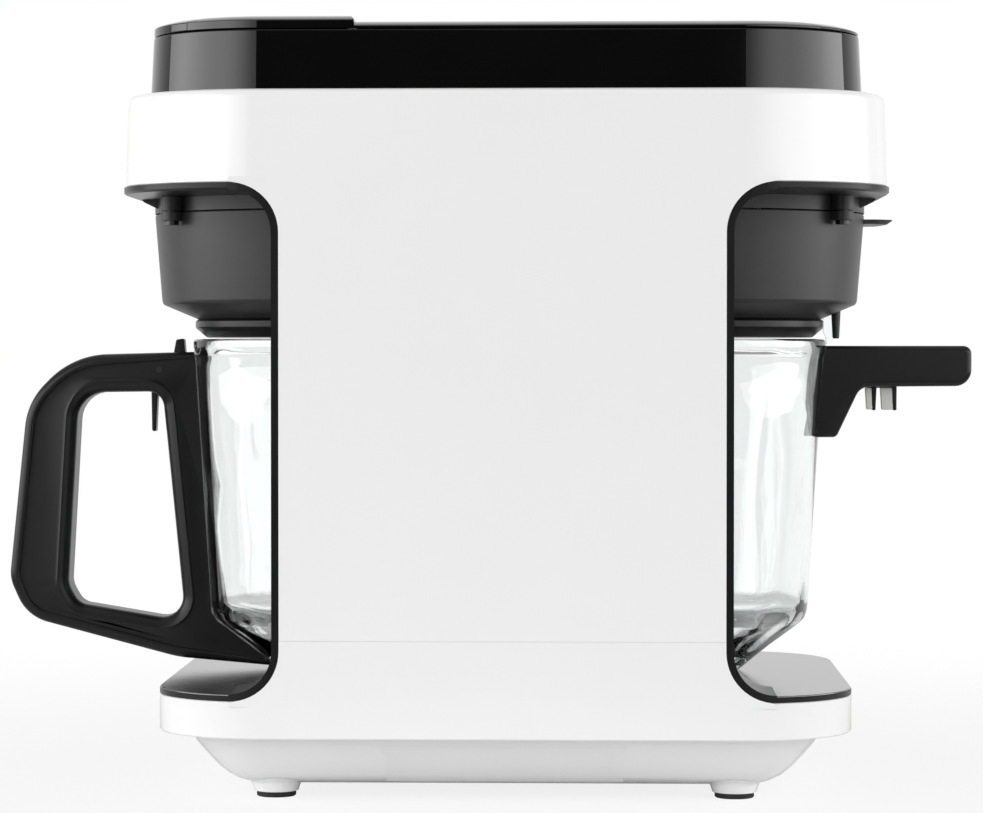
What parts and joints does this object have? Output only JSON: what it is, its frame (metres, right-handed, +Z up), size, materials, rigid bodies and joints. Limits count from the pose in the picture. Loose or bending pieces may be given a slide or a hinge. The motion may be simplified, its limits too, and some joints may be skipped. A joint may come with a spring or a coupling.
{
  "type": "two-station countertop brewer",
  "caption": "Electric coffee and tea brewer: C-shaped white body with a jug bay on each side, swing-out brew baskets, glass jugs, hinged lids and front controls.",
  "frame": {"origin": "on the table, under the middle of the base", "axes": "+Z up; -Y is the front with the controls; +X is the coffee station with the closed handle"},
  "size_m": [0.4726, 0.2656, 0.3644],
  "materials": {
    "white_plastic": "gloss white moulding",
    "black_gloss": "piano black",
    "charcoal_plastic": "fine satin texture",
    "dark_plastic": "satin",
    "handle_plastic": "satin",
    "steel": "brushed",
    "pin_steel": "ground",
    "jug_glass": "clear",
    "clear_plastic": "clear moulding",
    "tank_plastic": "translucent",
    "silicone": "translucent silicone",
    "rubber": "matte",
    "aluminium": "cast",
    "board_green": "solder resist",
    "natural_plastic": "moulded"
  },
  "bodies": {
    "body": {"base_pan": "white_plastic", "base_housing": "white_plastic", "foot_pads": "rubber", "base_screws": "pin_steel", "cord_gland": "dark_plastic", "body_housing": "white_plastic", "column_front": "dark_plastic", "liner_coffee": "dark_plastic", "liner_tea": "dark_plastic", "deck_plate_coffee": "steel", "deck_plate_tea": "steel", "warmer_coffee": "aluminium", "warmer_tea": "aluminium", "underside_coffee": "charcoal_plastic", "underside_tea": "charcoal_plastic", "head_collar_coffee": "charcoal_plastic", "head_collar_tea": "charcoal_plastic", "top_cover": "black_gloss", "lid_pins": "pin_steel", "pivot_pin_coffee": "pin_steel", "pivot_pin_tea": "pin_steel", "water_tank": "tank_plastic", "tank_outlet_seal": "rubber", "pump": "aluminium", "pump_cradle": "rubber", "boiler": "aluminium", "power_board": "board_green", "diverter_valve": "natural_plastic", "suction_hose": "silicone", "water_hoses": "silicone", "shower_heads": "natural_plastic", "control_panel": "black_gloss", "control_board": "board_green"},
    "fill_lid": {"fill_lid": "black_gloss"},
    "service_lid": {"service_lid": "black_gloss"},
    "coffee_basket": {"basket_holder_coffee": "charcoal_plastic", "outlet_bowl_coffee": "dark_plastic", "filter_basket_coffee": "dark_plastic", "drip_spring_coffee": "pin_steel"},
    "tea_basket": {"basket_holder_tea": "charcoal_plastic", "outlet_bowl_tea": "dark_plastic", "filter_basket_tea": "dark_plastic", "drip_spring_tea": "pin_steel", "tea_drip_guide": "clear_plastic"},
    "coffee_valve": {"drip_valve_coffee": "silicone"},
    "tea_valve": {"drip_valve_tea": "silicone"},
    "coffee_jug": {"coffee_jug_glass": "jug_glass", "coffee_jug_handle": "handle_plastic", "coffee_trigger_pin": "pin_steel"},
    "tea_jug": {"tea_jug_glass": "jug_glass", "tea_jug_handle": "handle_plastic", "tea_trigger_pin": "pin_steel"},
    "coffee_trigger": {"coffee_jug_trigger": "handle_plastic"},
    "tea_trigger": {"tea_jug_trigger": "handle_plastic"},
    "mode_knob": {"mode_knob": "steel"},
    "coffee_button": {"coffee_button": "natural_plastic"},
    "coffee_large_button": {"coffee_large_button": "natural_plastic"},
    "tea_button": {"tea_button": "natural_plastic"},
    "tea_large_button": {"tea_large_button": "natural_plastic"},
    "power_rocker": {"power_rocker": "dark_plastic"}
  },
  "joints": [
    {"name": "fill_lid_hinge", "type": "hinge", "parent": "body", "child": "fill_lid", "pos_m": [0, 0.09115, 0.36085], "axis": [-1, 0, 0], "range_deg": [0, 90]},
    {"name": "service_lid_hinge", "type": "hinge", "parent": "body", "child": "service_lid", "pos_m": [0, 0.0925, 0.3595], "axis": [-1, 0, 0], "range_deg": [0, 90]},
    {"name": "coffee_basket_swing", "type": "hinge", "parent": "body", "child": "coffee_basket", "pos_m": [0.16, 0.0405, 0.27], "axis": [0, 0, 1], "range_deg": [0, 60]},
    {"name": "coffee_drip_valve", "type": "slide", "parent": "coffee_basket", "child": "coffee_valve", "axis": [0, 0, 1], "range_m": [0, 0.004], "stiffness_N_per_m": 150, "deforming": ["drip_spring_coffee"]},
    {"name": "coffee_jug_out", "type": "slide", "parent": "body", "child": "coffee_jug", "axis": [0, -1, 0], "range_m": [0, 0.2]},
    {"name": "tea_basket_swing", "type": "hinge", "parent": "body", "child": "tea_basket", "pos_m": [-0.16, 0.0405, 0.27], "axis": [0, 0, -1], "range_deg": [0, 60]},
    {"name": "tea_drip_valve", "type": "slide", "parent": "tea_basket", "child": "tea_valve", "axis": [0, 0, 1], "range_m": [0, 0.004], "stiffness_N_per_m": 150, "deforming": ["drip_spring_tea"]},
    {"name": "tea_jug_out", "type": "slide", "parent": "body", "child": "tea_jug", "axis": [0, -1, 0], "range_m": [0, 0.2]},
    {"name": "coffee_trigger_squeeze", "type": "hinge", "parent": "coffee_jug", "child": "coffee_trigger", "pos_m": [0.172, -0.015, 0.2007], "axis": [0, -1, 0], "range_deg": [0, 6], "stiffness_Nm_per_rad": 0.05},
    {"name": "tea_trigger_squeeze", "type": "hinge", "parent": "tea_jug", "child": "tea_trigger", "pos_m": [-0.184, -0.015, 0.2027], "axis": [0, 1, 0], "range_deg": [0, 6], "stiffness_Nm_per_rad": 0.05},
    {"name": "mode_knob_turn", "type": "hinge", "parent": "body", "child": "mode_knob", "pos_m": [0, -0.135, 0.30825], "axis": [0, -1, 0], "range_deg": [-135, 135]},
    {"name": "coffee_button_press", "type": "slide", "parent": "body", "child": "coffee_button", "axis": [0, 1, 0], "range_m": [0, 0.0015], "stiffness_N_per_m": 300},
    {"name": "coffee_large_button_press", "type": "slide", "parent": "body", "child": "coffee_large_button", "axis": [0, 1, 0], "range_m": [0, 0.0015], "stiffness_N_per_m": 300},
    {"name": "tea_button_press", "type": "slide", "parent": "body", "child": "tea_button", "axis": [0, 1, 0], "range_m": [0, 0.0015], "stiffness_N_per_m": 300},
    {"name": "tea_large_button_press", "type": "slide", "parent": "body", "child": "tea_large_button", "axis": [0, 1, 0], "range_m": [0, 0.0015], "stiffness_N_per_m": 300},
    {"name": "power_rocker_tilt", "type": "hinge", "parent": "body", "child": "power_rocker", "pos_m": [0.079, -0.135, 0.30825], "axis": [-1, 0, 0], "range_deg": [0, 16]}
  ]
}
